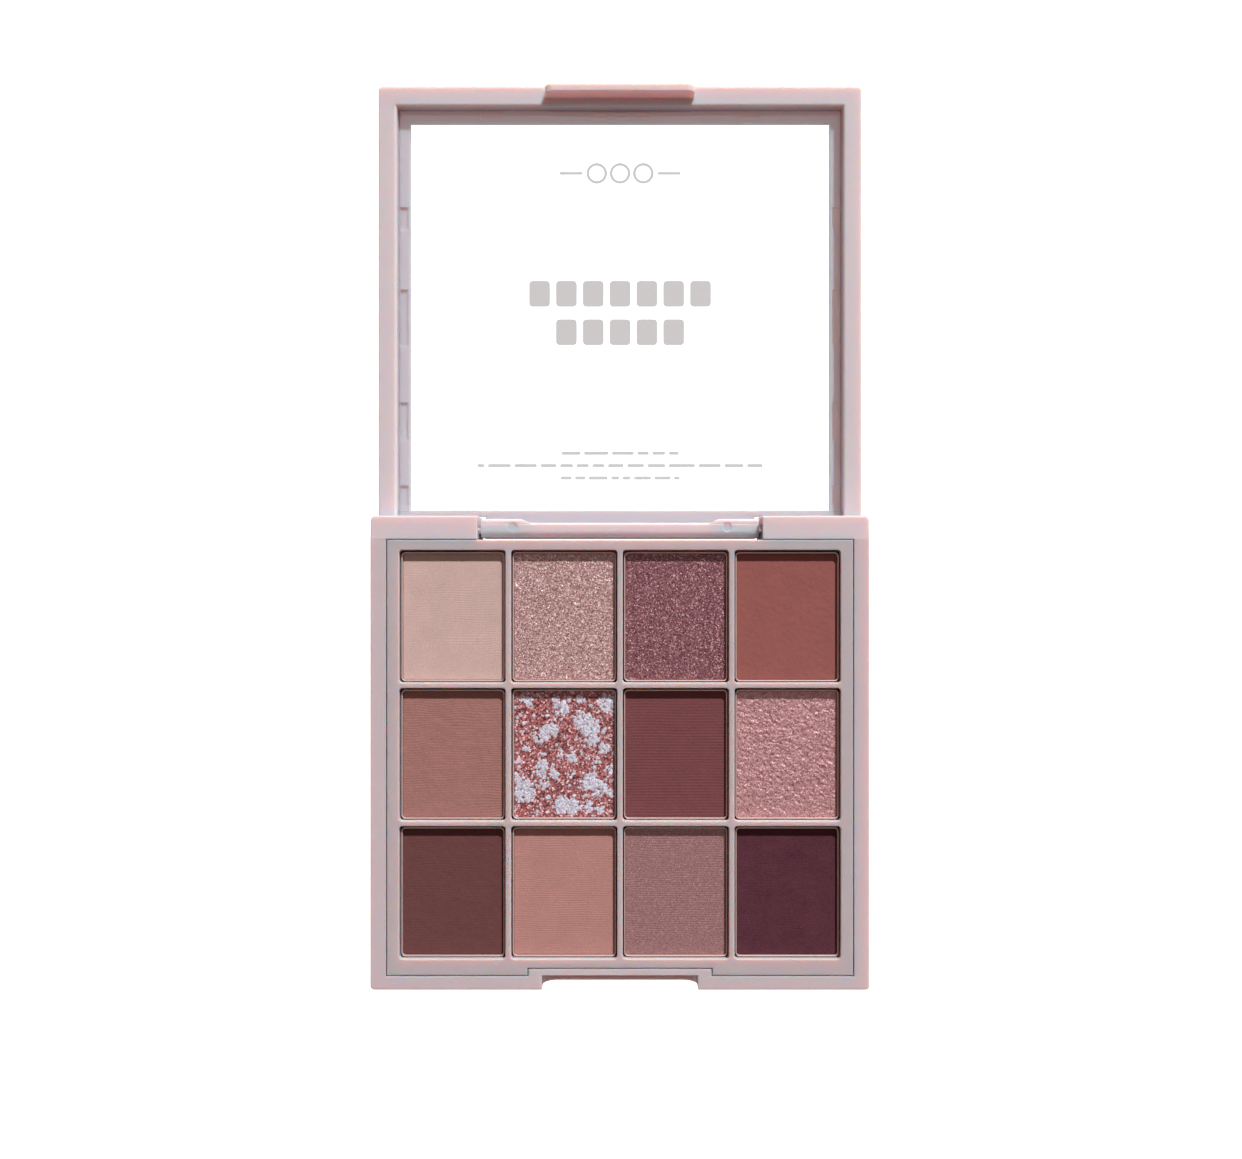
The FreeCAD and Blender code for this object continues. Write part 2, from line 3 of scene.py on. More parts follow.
import bmesh
import bpy
import numpy as np
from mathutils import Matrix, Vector


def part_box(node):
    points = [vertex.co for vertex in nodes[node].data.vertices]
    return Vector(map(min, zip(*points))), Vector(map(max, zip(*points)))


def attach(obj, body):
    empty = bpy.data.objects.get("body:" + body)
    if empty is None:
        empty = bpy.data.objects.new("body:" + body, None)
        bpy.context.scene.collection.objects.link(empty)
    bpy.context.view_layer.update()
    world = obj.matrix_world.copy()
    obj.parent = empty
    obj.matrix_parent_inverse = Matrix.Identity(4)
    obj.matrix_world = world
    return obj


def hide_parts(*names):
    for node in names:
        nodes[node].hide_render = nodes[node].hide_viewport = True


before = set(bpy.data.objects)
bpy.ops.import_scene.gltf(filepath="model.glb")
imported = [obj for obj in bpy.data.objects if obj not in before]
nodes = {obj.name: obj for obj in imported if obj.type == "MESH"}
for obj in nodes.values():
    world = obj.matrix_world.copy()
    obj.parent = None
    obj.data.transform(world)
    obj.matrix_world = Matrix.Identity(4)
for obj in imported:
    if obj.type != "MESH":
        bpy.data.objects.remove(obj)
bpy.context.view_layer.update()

# Eyeshadow palette, open on a white table. Metres, +Z up, +X right, +Y towards the opened lid.

MM = 0.001                  # one millimetre in metres
WINDOW_TOP = 2.41 * MM      # upper face of the clear sheet; its upstands reach higher
CAKE_GAP = 0.012 * MM       # between a cake and the wall of its pan
CAKE_CORNER = 0.6 * MM
FINE = 0.11 * MM            # mesh steps of the cakes' tops
COARSE = 0.15 * MM
CRUMBS = 5200               # in the marbled cake
STAGE_REACH = 6.0           # half width of the ground, and radius of the sky

scene = bpy.context.scene


# ---------------------------------------------------------------- node helpers

class Shader:
    """A material under construction: its node tree and its one Principled shader."""

    def __init__(self, name, **values):
        self.material = bpy.data.materials.new(name)
        self.material.use_nodes = True
        self.tree = self.material.node_tree
        self.tree.nodes.clear()
        self.output = self.add("ShaderNodeOutputMaterial")
        self.surface = self.add("ShaderNodeBsdfPrincipled")
        self.link(self.surface.outputs[0], self.output.inputs["Surface"])
        for key, value in values.items():
            self.surface.inputs[key.replace("_", " ")].default_value = value
        self.place = self.add("ShaderNodeTexCoord").outputs["Object"]

    def add(self, kind, **settings):
        node = self.tree.nodes.new(kind)
        for key, value in settings.items():
            setattr(node, key, value)
        return node

    def link(self, source, target):
        self.tree.links.new(source, target)

    def feed(self, node, key, value):
        """Sets an input to a number, or links an output to it."""
        if isinstance(value, bpy.types.NodeSocket):
            self.link(value, node.inputs[key])
        else:
            node.inputs[key].default_value = value

    def stretched(self, x, y, z):
        """The place, scaled along each axis."""
        node = self.add("ShaderNodeMapping")
        node.inputs["Scale"].default_value = (x, y, z)
        self.link(self.place, node.inputs["Vector"])
        return node.outputs[0]

    def noise(self, size, detail=2.0, where=None):
        """Cloudy noise with features of that size in metres, from 0 to 1."""
        node = self.add("ShaderNodeTexNoise")
        node.inputs["Scale"].default_value = 1 / size
        node.inputs["Detail"].default_value = detail
        self.link(where or self.place, node.inputs["Vector"])
        return node.outputs["Fac"]

    def cells(self, size, where=None):
        """A random colour for each grain of that size."""
        node = self.add("ShaderNodeTexVoronoi")
        node.inputs["Scale"].default_value = 1 / size
        self.link(where or self.place, node.inputs["Vector"])
        return node.outputs["Color"]

    def span(self, value, low, high, to_low=0.0, to_high=1.0):
        """Stretches a value's range to another."""
        node = self.add("ShaderNodeMapRange")
        ends = {"From Min": low, "From Max": high, "To Min": to_low, "To Max": to_high}
        for key, number in ends.items():
            node.inputs[key].default_value = number
        self.link(value, node.inputs["Value"])
        return node.outputs[0]

    def maths(self, operation, a, b):
        node = self.add("ShaderNodeMath", operation=operation)
        self.feed(node, 0, a)
        self.feed(node, 1, b)
        return node.outputs[0]

    def channel(self, colour, name):
        node = self.add("ShaderNodeSeparateColor")
        self.link(colour, node.inputs[0])
        return node.outputs[name]

    def mix(self, amount, a, b):
        """A colour between a and b."""
        node = self.add("ShaderNodeMix", data_type="RGBA")
        self.feed(node, 0, amount)
        for index, colour in ((6, a), (7, b)):
            if isinstance(colour, bpy.types.NodeSocket):
                self.link(colour, node.inputs[index])
            else:
                node.inputs[index].default_value = (*colour, 1)
        return node.outputs[2]

    def bump(self, height, distance, strength=1.0, normal=None):
        node = self.add("ShaderNodeBump")
        node.inputs["Distance"].default_value = distance
        node.inputs["Strength"].default_value = strength
        self.link(height, node.inputs["Height"])
        if normal:
            self.link(normal, node.inputs["Normal"])
        return node.outputs[0]

    def use(self, key, value):
        self.feed(self.surface, key, value)


def shade(colour, factor):
    """A colour made lighter or darker."""
    return tuple(min(1.0, c * factor) for c in colour)


# ---------------------------------------------------------------- materials

def plastic(name, colour, roughness):
    """Pink moulded plastic: slightly translucent, with a fine satin grain and faint flow marks."""
    s = Shader(name, IOR=1.5)
    cloud = s.noise(14 * MM, 3)
    streak = s.noise(1.0, 3, s.stretched(90, 500, 300))
    tone = s.maths("ADD", s.maths("MULTIPLY", cloud, 0.6), s.maths("MULTIPLY", streak, 0.4))
    s.use("Base Color", s.mix(tone, shade(colour, 0.972), shade(colour, 1.028)))
    s.use("Roughness", s.span(s.noise(1.7 * MM, 2), 0.3, 0.7, roughness - 0.04, roughness + 0.05))
    s.surface.inputs["Specular IOR Level"].default_value = 0.35
    s.surface.inputs["Subsurface Weight"].default_value = 1.0
    s.surface.inputs["Subsurface Radius"].default_value = (1.0, 0.4, 0.24)
    s.surface.inputs["Subsurface Scale"].default_value = 3.6 * MM
    rounded = s.add("ShaderNodeBevel", samples=3)
    rounded.inputs["Radius"].default_value = 0.08 * MM
    s.use("Normal", s.bump(s.noise(0.16 * MM, 2), 0.0016 * MM, 1.0, rounded.outputs[0]))
    return s.material


def clear_plastic(name):
    """Clear moulded sheet: lets light straight through and mirrors a little, more at a flat angle."""
    s = Shader(name)
    s.tree.nodes.remove(s.surface)
    through = s.add("ShaderNodeBsdfTransparent")
    through.inputs[0].default_value = (0.894, 0.915, 0.933, 1)
    mirror = s.add("ShaderNodeBsdfGlossy")
    s.feed(mirror, "Roughness", s.span(s.noise(6 * MM, 3), 0.35, 0.75, 0.02, 0.06))
    s.feed(mirror, "Normal", s.bump(s.noise(9 * MM, 2), 0.004 * MM))
    # Schlick's rule for the mirrored share, the same from both sides of a face.
    straight_on = 0.04
    turned = s.add("ShaderNodeLayerWeight").outputs["Facing"]
    at_an_angle = s.maths("MULTIPLY", s.maths("POWER", turned, 5.0), 1 - straight_on)
    both = s.add("ShaderNodeMixShader")
    s.feed(both, 0, s.maths("ADD", at_an_angle, straight_on))
    s.link(through.outputs[0], both.inputs[1])
    s.link(mirror.outputs[0], both.inputs[2])
    s.link(both.outputs[0], s.output.inputs["Surface"])
    return s.material


def metal(name, colour, roughness, grain, share=1.0):
    """Thin satin sheet or wire, with fine drawing lines. A share under 1 stands for a dusty face."""
    s = Shader(name, Metallic=share)
    lines = s.noise(1.0, 3, s.stretched(*grain))
    s.use("Base Color", s.mix(lines, shade(colour, 0.86), shade(colour, 1.08)))
    s.use("Roughness", s.span(lines, 0.3, 0.7, roughness - 0.06, roughness + 0.08))
    s.use("Normal", s.bump(lines, 0.002 * MM))
    return s.material


def paper(name, colour):
    """Coated label stock with faint fibres."""
    s = Shader(name, IOR=1.45)
    fibres = s.noise(0.35 * MM, 4)
    s.use("Base Color", s.mix(fibres, shade(colour, 0.95), shade(colour, 1.02)))
    s.use("Roughness", s.span(fibres, 0.2, 0.8, 0.42, 0.6))
    s.use("Normal", s.bump(fibres, 0.004 * MM))
    return s.material


def adhesive(name):
    """Dried hot glue, a little cloudy."""
    s = Shader(name, IOR=1.48)
    cloud = s.noise(0.9 * MM, 3)
    s.use("Base Color", s.mix(cloud, (0.80, 0.76, 0.66), (0.9, 0.87, 0.8)))
    s.use("Roughness", s.span(cloud, 0.3, 0.7, 0.25, 0.4))
    s.use("Normal", s.bump(cloud, 0.03 * MM))
    return s.material


def ink(name, colour):
    """Screen-printed ink: matt, with tiny pinholes of a lighter tone."""
    s = Shader(name, IOR=1.45)
    grain = s.noise(0.12 * MM, 3)
    s.use("Base Color", s.mix(s.span(grain, 0.35, 0.75), colour, shade(colour, 1.08)))
    s.use("Roughness", s.span(grain, 0.3, 0.7, 0.5, 0.65))
    return s.material


def matte_powder(name, colour, contrast=0.05, sheen=0.0):
    """Pressed matt powder: fine grains, soft clouds of tone and a few lighter and darker specks."""
    s = Shader(name, IOR=1.4)
    s.surface.inputs["Specular IOR Level"].default_value = 0.18
    s.surface.inputs["Sheen Weight"].default_value = 0.12 + sheen
    s.surface.inputs["Sheen Roughness"].default_value = 0.5
    grain = s.noise(0.25 * MM, 3)
    cloud = s.noise(3.2 * MM, 3)
    tone = s.maths("ADD", s.maths("MULTIPLY", grain, 0.72), s.maths("MULTIPLY", cloud, 0.28))
    body = s.mix(s.span(tone, 0.32, 0.68), shade(colour, 1 - contrast), shade(colour, 1 + contrast))
    speck = s.channel(s.cells(0.2 * MM), "Green")
    pale = s.mix(s.span(speck, 0.985, 1.0, 0, 0.35), body, shade(colour, 1.6))
    spot = s.channel(s.cells(0.26 * MM), "Red")
    s.use("Base Color", s.mix(s.span(spot, 0.99, 1.0, 0, 0.4), pale, shade(colour, 0.6)))
    s.use("Roughness", s.span(grain, 0.3, 0.7, 0.8, 0.96))
    s.use("Normal", s.bump(s.noise(0.1 * MM, 3), 0.006 * MM))
    return s.material


def tilted_normal(s, random_colour, tilt):
    """The surface normal, leant over by a random amount in each grain."""
    surface = s.add("ShaderNodeNewGeometry")
    centred = s.add("ShaderNodeVectorMath", operation="SUBTRACT")
    s.link(random_colour, centred.inputs[0])
    centred.inputs[1].default_value = (0.5, 0.5, 0.5)
    scaled = s.add("ShaderNodeVectorMath", operation="SCALE")
    s.link(centred.outputs[0], scaled.inputs[0])
    scaled.inputs["Scale"].default_value = tilt
    total = s.add("ShaderNodeVectorMath", operation="ADD")
    s.link(surface.outputs["Normal"], total.inputs[0])
    s.link(scaled.outputs[0], total.inputs[1])
    unit = s.add("ShaderNodeVectorMath", operation="NORMALIZE")
    s.link(total.outputs[0], unit.inputs[0])
    return unit.outputs[0]


def glitter_powder(name, tones, size, metallic, tilt, share):
    """Pressed shimmer: each flake has its own tone and lean, and a share of them is coloured in the bright
    tone, a painted glint.
    """
    dark, middle, bright = tones
    s = Shader(name, IOR=1.5)
    s.surface.inputs["Metallic"].default_value = metallic
    flakes = s.cells(size)
    tone = s.channel(flakes, "Red")
    body = s.mix(tone, dark, middle)
    # Painted glint: a share of the flakes gets the bright tone in its colour, standing in for sparkle.
    painted_glint = s.channel(s.cells(size * 1.15, s.stretched(1.0, 1.07, 0.9)), "Green")
    s.use("Base Color", s.mix(s.span(painted_glint, 1 - share, 1.0), body, bright))
    s.use("Roughness", s.span(s.channel(flakes, "Blue"), 0, 1, 0.32, 0.6))
    s.use("Normal", tilted_normal(s, flakes, tilt))
    return s.material


def foil_powder(name, dark, bright):
    """Pressed metallic foil: pearly, with fine flakes over the lumps of the surface."""
    s = Shader(name, IOR=1.5)
    s.surface.inputs["Metallic"].default_value = 0.42
    flakes = s.cells(0.17 * MM)
    fine = s.noise(0.3 * MM, 4)
    own = s.channel(flakes, "Red")
    tone = s.maths("ADD", s.maths("MULTIPLY", own, 0.5), s.maths("MULTIPLY", fine, 0.5))
    s.use("Base Color", s.mix(s.span(tone, 0.2, 0.8), dark, bright))
    s.use("Roughness", s.span(fine, 0.3, 0.7, 0.42, 0.58))
    s.use("Normal", tilted_normal(s, flakes, 0.4))
    return s.material


def crumb_powder(name, copper, pale):
    """Marbled crumbs: copper glitter with white and lilac flakes where the mesh says so, and pink glints
    painted on a share of the copper flakes.
    """
    s = Shader(name, IOR=1.5)
    where = s.add("ShaderNodeAttribute", attribute_name="flake").outputs["Fac"]
    lilac = s.add("ShaderNodeAttribute", attribute_name="lilac").outputs["Fac"]
    flakes = s.cells(0.27 * MM)
    tone = s.channel(flakes, "Red")
    red = s.mix(tone, shade(copper, 0.34), shade(copper, 1.45))
    # Painted glint: a share of the copper flakes is coloured pale pink, standing in for sparkle.
    painted_pink_glint = s.span(s.channel(s.cells(0.3 * MM), "Green"), 0.76, 1.0)
    red_part = s.mix(painted_pink_glint, red, (0.90, 0.68, 0.70))
    silver = s.mix(tone, shade(pale, 1.3), shade(pale, 0.62))
    silver_part = s.mix(s.maths("MULTIPLY", lilac, 0.6), silver, (0.54, 0.50, 0.68))
    s.use("Base Color", s.mix(where, red_part, silver_part))
    s.use("Metallic", s.span(where, 0, 1, 0.3, 0.1))
    s.use("Roughness", s.span(tone, 0, 1, 0.35, 0.65))
    s.use("Normal", tilted_normal(s, flakes, 0.6))
    return s.material


# ---------------------------------------------------------------- relief of the powders

def smooth_noise(u, v, size, seed, along=1.0):
    """Smooth random height from -1 to 1 at points u, v: features of that size, stretched along u."""
    random = np.random.default_rng(seed)
    period = 96
    grid = random.uniform(-1, 1, (period, period))
    a = u / (size * along) + 31.7
    b = v / size + 17.3
    i = np.floor(a).astype(int)
    j = np.floor(b).astype(int)
    fa = a - i
    fb = b - j
    fa = fa * fa * (3 - 2 * fa)
    fb = fb * fb * (3 - 2 * fb)

    def at(di, dj):
        return grid[(i + di) % period, (j + dj) % period]

    low = at(0, 0) * (1 - fa) + at(1, 0) * fa
    high = at(0, 1) * (1 - fa) + at(1, 1) * fa
    return low * (1 - fb) + high * fb


def fractal(u, v, size, seed, octaves=3, along=1.0):
    """Several sizes of smooth noise together."""
    total = 0
    for k in range(octaves):
        total = total + smooth_noise(u, v, size / 2 ** k, seed + k, along) / 2 ** k
    return total


def ribs(u, v, pitch, wander, seed, wave=5 * MM):
    """Fine lines along u, uneven in depth, that wander sideways."""
    path = v + wander * fractal(u, v, wave, seed, 2)
    depth = 0.6 + 0.4 * fractal(u, v, 2.2 * MM, seed + 9, 2, 3.0)
    return np.sin(2 * math.pi * path / pitch) * depth


def linen(u, v):
    """Crossing threads."""
    weft = ribs(u, v, 0.47 * MM, 0.3 * MM, 11)
    warp = ribs(v, u, 0.45 * MM, 0.15 * MM, 23)
    return 0.016 * MM * weft + 0.010 * MM * warp


def wavy(u, v):
    lines = ribs(u, v, 0.5 * MM, 0.35 * MM, 31)
    return 0.020 * MM * lines + 0.022 * MM * fractal(u, v, 0.9 * MM, 35)


def ribbed(u, v):
    lines = ribs(u, v, 0.56 * MM, 0.1 * MM, 41, 9 * MM)
    return 0.028 * MM * lines + 0.012 * MM * fractal(u, v, 0.5 * MM, 45, 2)


def lined(u, v):
    lines = ribs(u, v, 0.44 * MM, 0.2 * MM, 51)
    return 0.018 * MM * lines + 0.010 * MM * fractal(u, v, 0.5 * MM, 55, 2)


def faint(u, v):
    lines = ribs(u, v, 0.52 * MM, 0.3 * MM, 61)
    return 0.017 * MM * lines + 0.020 * MM * fractal(u, v, 0.8 * MM, 65)


def smooth(u, v):
    return 0.018 * MM * fractal(u, v, 0.7 * MM, 71) + 0.02 * MM * fractal(u, v, 6 * MM, 75, 2)


def rough(u, v):
    return 0.024 * MM * fractal(u, v, 0.33 * MM, 81, 2)


def lumpy(u, v):
    """Fine leathery wrinkles that run down to the right."""
    lean = math.radians(-38)
    a = u * math.cos(lean) + v * math.sin(lean)
    b = -u * math.sin(lean) + v * math.cos(lean)
    folds = 0.5 - np.abs(fractal(a, b, 0.85 * MM, 91, 3, 1.6))
    return 0.085 * MM * folds + 0.05 * MM * fractal(a, b, 0.42 * MM, 97, 2, 1.3) - 0.06 * MM


# The pale clusters of the marbled cake, in millimetres: across and up from its middle, and their reach.
CLUSTERS = (
    (3.6, 6.4, 1.7), (4.9, 5.0, 1.9), (5.4, 2.6, 1.0), (8.1, 9.7, 1.5), (-0.5, 8.8, 1.35),
    (-1.8, 10.5, 0.7), (-6.9, 10.0, 0.9), (-2.6, 4.6, 1.3), (-4.0, 3.4, 1.1), (-5.2, 2.4, 0.6),
    (7.7, 1.0, 0.9), (1.3, -0.8, 1.0), (-4.4, -2.0, 1.0), (-4.3, -4.0, 1.0), (-4.0, -6.0, 0.9),
    (-1.9, -3.8, 0.9), (-7.6, -7.2, 1.9), (-8.7, -4.7, 0.8), (5.0, -5.3, 1.7), (6.9, -6.4, 1.5),
    (8.4, -7.6, 0.8), (-0.4, -9.7, 1.4), (1.4, -10.0, 1.5), (4.6, -10.1, 1.1), (6.6, -10.6, 0.8),
    (-3.3, -8.2, 0.5), (3.1, 10.5, 0.6), (8.9, -3.0, 0.5), (-7.2, 1.0, 0.5),
)


def crumbs(u, v):
    """Relief, paleness and lilac tint of a surface pressed from small round crumbs."""
    random = np.random.default_rng(2024)
    half = np.array([u.max(), v.max()])
    heights = v[:, 0]
    relief = np.zeros_like(u)
    pale = np.zeros_like(u)
    lilac = np.zeros_like(u)
    for _ in range(CRUMBS):
        centre = random.uniform(-half, half)
        radius = random.uniform(0.16, 0.42) * MM
        across, up = centre / MM
        nearness = max(reach - math.hypot(across - x, up - y) for x, y, reach in CLUSTERS)
        is_pale = nearness - 0.1 + random.normal(0, 0.22) > 0 or random.uniform() < 0.04
        is_lilac = random.uniform() < 0.25
        lift = random.uniform(0.02, 0.06) * MM + (0.04 * MM if is_pale else 0)
        first, last = np.searchsorted(heights, (centre[1] - radius, centre[1] + radius))
        band = slice(first, last)
        near = ((u[band] - centre[0]) ** 2 + (v[band] - centre[1]) ** 2) / radius ** 2
        dome = lift * np.sqrt(np.clip(1 - near, 0, 1))
        higher = (dome > relief[band]) & (near < 1)
        relief[band] = np.where(higher, dome, relief[band])
        pale[band] = np.where(higher, 1.0 if is_pale else 0.0, pale[band])
        lilac[band] = np.where(higher, 0.8 if is_lilac else 0.1, lilac[band])
    return relief - 0.05 * MM, pale, lilac


# ---------------------------------------------------------------- powder cakes

def cake_grid(half_x, half_y, step):
    """Points u, v of a grid that fills a rectangle with round corners, one row per step."""
    rows = np.linspace(-half_y, half_y, round(2 * half_y / step) + 1)
    across = np.linspace(-1, 1, round(2 * half_x / step) + 1)
    into_corner = np.clip(np.abs(rows) - (half_y - CAKE_CORNER), 0, CAKE_CORNER)
    reach = half_x - CAKE_CORNER + np.sqrt(CAKE_CORNER ** 2 - into_corner ** 2)
    u = reach[:, None] * across[None, :]
    v = np.repeat(rows[:, None], len(across), axis=1)
    return u, v


def closed_mesh(name, top, foot_height):
    """A mesh with that grid of points on top, straight sides and a flat bottom, and its rim's length."""
    tall, wide = top.shape[:2]
    points = top.reshape(-1, 3)
    faces = [(r * wide + c, r * wide + c + 1, (r + 1) * wide + c + 1, (r + 1) * wide + c)
             for r in range(tall - 1) for c in range(wide - 1)]
    top_faces = len(faces)
    south = list(range(wide))
    east = [r * wide + wide - 1 for r in range(1, tall)]
    north = [(tall - 1) * wide + c for c in range(wide - 2, -1, -1)]
    west = [r * wide for r in range(tall - 2, 0, -1)]
    ring = south + east + north + west
    first = len(points)
    foot = points[ring].copy()
    foot[:, 2] = foot_height
    count = len(ring)
    for k in range(count):
        following = (k + 1) % count
        faces.append((ring[following], ring[k], first + k, first + following))
    faces.append(tuple(first + k for k in range(count - 1, -1, -1)))
    mesh = bpy.data.meshes.new(name)
    mesh.from_pydata(np.concatenate([points, foot]).tolist(), [], faces)
    mesh.polygons.foreach_set("use_smooth", np.arange(len(faces)) < top_faces)
    return mesh, count


def make_cake(shade_name, relief, step, material):
    """A pressed cake that takes the CAD cake's place, with its relief on top."""
    node = "powder_" + shade_name
    low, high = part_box(node)
    centre = (low + high) / 2
    half_x = (high.x - low.x) / 2 - CAKE_GAP
    half_y = (high.y - low.y) / 2 - CAKE_GAP
    u, v = cake_grid(half_x, half_y, step)
    shape = relief(u, v)
    extra = {}
    if isinstance(shape, tuple):
        extra = {"flake": shape[1], "lilac": shape[2]}
        shape = shape[0]
    from_edge = np.minimum(half_x - np.abs(u), half_y - np.abs(v))
    edge_drop = 0.05 * MM * np.exp(-from_edge / (0.12 * MM))
    height = high.z - 0.02 * MM + shape - edge_drop
    top = np.stack([u + centre.x, v + centre.y, height], axis=-1)
    mesh, rim_points = closed_mesh("cake_" + shade_name, top, low.z)
    for key, values in extra.items():
        layer = mesh.attributes.new(key, "FLOAT", "POINT")
        padded = np.concatenate([values.reshape(-1), np.zeros(rim_points)])
        layer.data.foreach_set("value", padded.astype(np.float32))
    mesh.materials.append(material)
    cake = bpy.data.objects.new("cake_" + shade_name, mesh)
    scene.collection.objects.link(cake)
    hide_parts(node)
    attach(cake, "base")


# The dark and middle tones of each glitter powder, and the bright tone painted on a share of its flakes as
# glints.
CHAMPAGNE_TONES = ((0.298, 0.139, 0.134), (0.596, 0.377, 0.368), (0.929, 0.788, 0.745))
PLUM_TONES = ((0.117, 0.035, 0.048), (0.319, 0.126, 0.147), (0.721, 0.456, 0.456))
TAUPE_TONES = ((0.275, 0.132, 0.134), (0.384, 0.201, 0.201), (0.530, 0.340, 0.340))


def make_cakes():
    """The twelve cakes: the relief, the mesh step and the material of each."""
    champagne = glitter_powder("powder champagne", CHAMPAGNE_TONES, 0.19 * MM, 0.25, 0.5, 0.18)
    plum = glitter_powder("powder plum shimmer", PLUM_TONES, 0.18 * MM, 0.28, 0.5, 0.15)
    taupe = glitter_powder("powder taupe satin", TAUPE_TONES, 0.14 * MM, 0.2, 0.18, 0.1)
    marbled = crumb_powder("powder marbled", (0.375, 0.117, 0.122), (0.66, 0.65, 0.74))
    foil = foil_powder("powder foil", (0.335, 0.125, 0.131), (0.717, 0.430, 0.448))
    cakes = {
        "a1": (linen, FINE, matte_powder("powder beige", (0.575, 0.408, 0.373), 0.12)),
        "a2": (rough, FINE, champagne),
        "a3": (rough, FINE, plum),
        "a4": (smooth, COARSE, matte_powder("powder terracotta", (0.296, 0.100, 0.089), 0.1)),
        "b1": (wavy, FINE, matte_powder("powder dusty rose", (0.346, 0.165, 0.146), 0.14)),
        "b2": (crumbs, FINE, marbled),
        "b3": (ribbed, FINE, matte_powder("powder rosewood", (0.177, 0.058, 0.063), 0.16)),
        "b4": (lumpy, FINE, foil),
        "c1": (faint, COARSE, matte_powder("powder chocolate", (0.137, 0.051, 0.050), 0.12)),
        "c2": (lined, FINE, matte_powder("powder peach", (0.442, 0.222, 0.197), 0.12)),
        "c3": (lined, FINE, taupe),
        "c4": (faint, COARSE, matte_powder("powder dark plum", (0.090, 0.0245, 0.039), 0.36)),
    }
    for shade_name, (relief, step, material) in cakes.items():
        make_cake(shade_name, relief, step, material)


# ---------------------------------------------------------------- printed ornament

# Lower and upper face of the ink film.
INK_LOW = WINDOW_TOP + 0.004 * MM
INK_HIGH = WINDOW_TOP + 0.018 * MM


def add_plate(bm, x, y, wide, tall, corner):
    """A thin flat plate of ink with round corners."""
    corner = min(corner, wide / 2, tall / 2)
    ring = []
    for quarter, (sx, sy) in enumerate(((1, 1), (-1, 1), (-1, -1), (1, -1))):
        cx = x + sx * (wide / 2 - corner)
        cy = y + sy * (tall / 2 - corner)
        for k in range(7):
            turn = math.radians(90 * quarter + 15 * k)
            ring.append((cx + corner * math.cos(turn), cy + corner * math.sin(turn)))
    under = [bm.verts.new((px, py, INK_LOW)) for px, py in ring]
    over = [bm.verts.new((px, py, INK_HIGH)) for px, py in ring]
    bm.faces.new(over)
    bm.faces.new(under[::-1])
    count = len(ring)
    for k in range(count):
        bm.faces.new((under[k], under[(k + 1) % count], over[(k + 1) % count], over[k]))


def add_ring(bm, x, y, outer, inner):
    """A thin flat ring of ink."""
    count = 40
    turns = [2 * math.pi * k / count for k in range(count)]
    loops = []
    for radius, height in ((outer, INK_LOW), (outer, INK_HIGH), (inner, INK_HIGH), (inner, INK_LOW)):
        loops.append([bm.verts.new((x + radius * math.cos(turn), y + radius * math.sin(turn), height))
                      for turn in turns])
    for a, b in zip(loops, loops[1:] + loops[:1]):
        for k in range(count):
            bm.faces.new((a[k], a[(k + 1) % count], b[(k + 1) % count], b[k]))


def add_rings(bm, x, y):
    """A row of rings between two short rules."""
    for k in (-1, 0, 1):
        add_ring(bm, x + k * 4.6 * MM, y, 2.05 * MM, 1.5 * MM)
    for side in (-1, 1):
        add_plate(bm, x + side * 9.7 * MM, y, 4.6 * MM, 0.55 * MM, 0.25 * MM)


def add_small_pans(bm, x, y, count):
    """A row of small blank pans."""
    for k in range(count):
        across = (k - (count - 1) / 2) * 5.3 * MM
        add_plate(bm, x + across, y, 4.1 * MM, 5.1 * MM, 0.7 * MM)


def add_broken_rule(bm, x, y, half, random):
    """A rule broken into random lengths; half its length is in millimetres."""
    shortest = 0.6
    gap = 0.7
    start = -half
    while start < half - shortest:
        length = min(random.uniform(1.4, 5.2), half - start)
        add_plate(bm, x + (start + length / 2) * MM, y, length * MM, 0.65 * MM, 0.25 * MM)
        start += length + gap


def make_print():
    """A plain ornament in grey ink on the window: rings, rows of small pans, and broken rules."""
    low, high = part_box("lid_window")
    middle = (low + high) / 2
    bm = bmesh.new()
    add_rings(bm, middle.x, low.y + 69.2 * MM)
    for tier, count in enumerate((7, 5)):
        add_small_pans(bm, middle.x, low.y + (45.4 - 7.6 * tier) * MM, count)
    random = np.random.default_rng(7)
    for tier, half in enumerate((11.6, 28.2, 11.8)):
        add_broken_rule(bm, middle.x, low.y + (13.9 - 2.45 * tier) * MM, half, random)
    mesh = bpy.data.meshes.new("window_print")
    bm.to_mesh(mesh)
    bm.free()
    mesh.materials.append(ink("grey ink", (0.60, 0.60, 0.605)))
    ornament = bpy.data.objects.new("window_print", mesh)
    scene.collection.objects.link(ornament)
    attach(ornament, "lid")


# ---------------------------------------------------------------- CAD nodes

def dress_cad():
    """Gives each CAD node that stays in view its finish."""
    pan = metal("pan metal", (0.58, 0.44, 0.41), 0.5, (300, 300, 9000), 0.5)
    steel = metal("pin steel", (0.62, 0.62, 0.63), 0.3, (200, 9000, 9000))
    finishes = {
        # One pink plastic in three tones: the lid painted lighter and the base and tray darker, standing
        # in for the light and shade on each.
        "lid_frame": plastic("pink plastic lid", (0.655, 0.605, 0.641), 0.46),
        "base_shell": plastic("pink plastic base", (0.616, 0.524, 0.557), 0.48),
        "pan_tray": plastic("pink plastic tray", (0.547, 0.468, 0.490), 0.5),
        "lid_window": clear_plastic("clear plastic"),
        "pan_glue_dots": adhesive("dried glue"),
        "bottom_label": paper("label paper", (0.86, 0.85, 0.84)),
        "hinge_pin_left": steel,
        "hinge_pin_right": steel,
    }
    for name, node in nodes.items():
        finish = finishes.get(name) or (pan if name.startswith("pan_") else None)
        if finish:
            node.data.materials.clear()
            node.data.materials.append(finish)


# ---------------------------------------------------------------- stage, light and camera

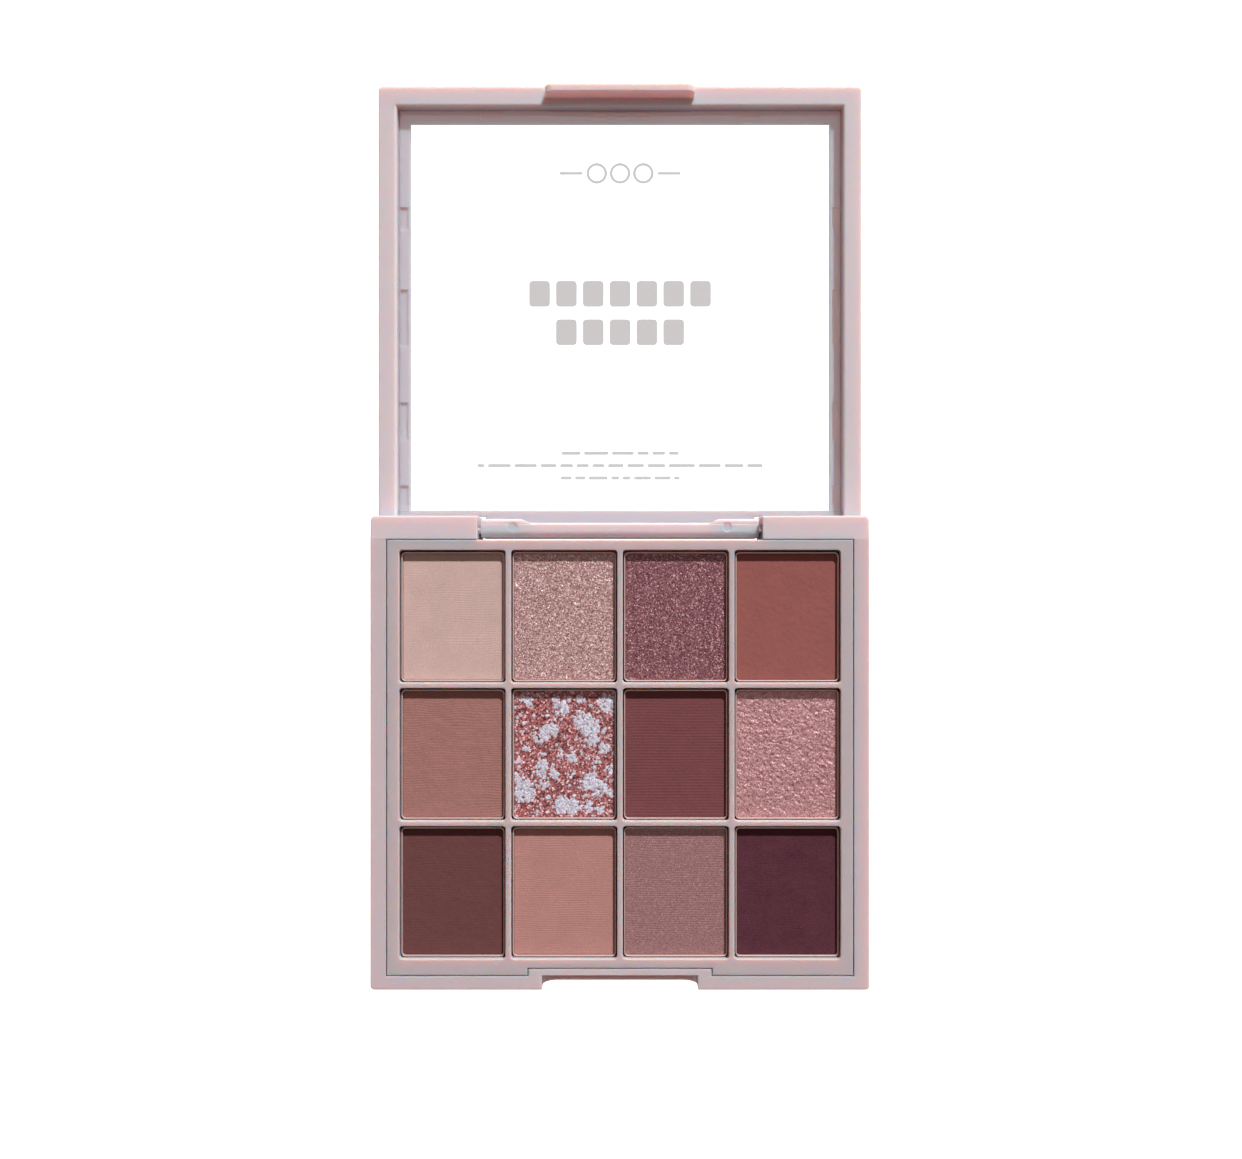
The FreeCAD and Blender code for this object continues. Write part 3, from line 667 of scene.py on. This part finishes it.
def add_stage(name, bm, material):
    """A mesh of the stage, which isn't part of the palette."""
    mesh = bpy.data.meshes.new(name)
    bm.to_mesh(mesh)
    bm.free()
    mesh.materials.append(material)
    thing = bpy.data.objects.new(name, mesh)
    scene.collection.objects.link(thing)
    return thing


def add_square(name, half, place, strength):
    """A level square of the stage that glows with that strength."""
    bm = bmesh.new()
    bmesh.ops.create_grid(bm, x_segments=1, y_segments=1, size=half)
    square = add_stage(name, bm, white_card("white " + name, strength))
    square.location = place
    return square


def white_card(name, strength):
    """White board with a faint mottle, which glows so that it stays white in any light."""
    s = Shader(name, Roughness=0.9)
    s.use("Base Color", s.mix(s.noise(0.3, 2), (0.86, 0.86, 0.865), (0.9, 0.9, 0.905)))
    s.surface.inputs["Emission Color"].default_value = (1, 1, 1, 1)
    s.surface.inputs["Emission Strength"].default_value = strength
    return s.material


def make_stage():
    """A white table that throws light back on the palette, and the even white ground and sky that show."""
    table = add_square("table", STAGE_REACH, (0, 0, -0.02 * MM), 0.28)
    table.visible_camera = False
    ground = add_square("ground", STAGE_REACH, (0, 0, -0.1 * MM), 1.3)
    bm = bmesh.new()
    bmesh.ops.create_icosphere(bm, subdivisions=4, radius=STAGE_REACH)
    sky = add_stage("sky", bm, white_card("white sky", 1.3))
    sky.visible_shadow = False
    for backdrop in (ground, sky):
        backdrop.visible_diffuse = False
        backdrop.visible_glossy = False


def make_softbox():
    """A bright panel high up behind the palette: only mirrored in the window and the gloss."""
    panel = add_square("softbox", 0.4, (0, 0.48, 2.0), 1.7)
    panel.visible_camera = False
    panel.visible_diffuse = False
    panel.visible_shadow = False


TOWARDS_KEY = Vector((0.6, 1.45, 1.0))


def make_lights():
    """A hard key light from the lid's side and a little from the right, and an even warm room."""
    key = bpy.data.lights.new("key", "SUN")
    key.energy = 4.35
    key.angle = math.radians(2.4)
    key.color = (1.0, 1.0, 1.0)
    lamp = bpy.data.objects.new("key", key)
    lamp.rotation_mode = "QUATERNION"
    lamp.rotation_quaternion = TOWARDS_KEY.to_track_quat("Z", "Y")
    scene.collection.objects.link(lamp)
    world = bpy.data.worlds.new("room")
    world.use_nodes = True
    room = world.node_tree.nodes["Background"]
    room.inputs["Color"].default_value = (1.0, 0.80, 0.74, 1)
    room.inputs["Strength"].default_value = 0.21
    scene.world = world


def make_camera():
    """Straight above the palette, a little in front of the hinge."""
    data = bpy.data.cameras.new("camera")
    data.sensor_width = 36.0
    height = 251 * MM
    rim_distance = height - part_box("base_shell")[1].z
    width_at_rim = 235.98 * MM
    data.lens = data.sensor_width * rim_distance / width_at_rim
    data.clip_start = 0.01
    data.clip_end = 20
    camera = bpy.data.objects.new("camera", data)
    camera.location = (0.19 * MM, -9.45 * MM, height)
    scene.collection.objects.link(camera)
    scene.camera = camera
    scene.view_settings.view_transform = "Standard"


dress_cad()
make_cakes()
make_print()
make_stage()
make_softbox()
make_lights()
make_camera()
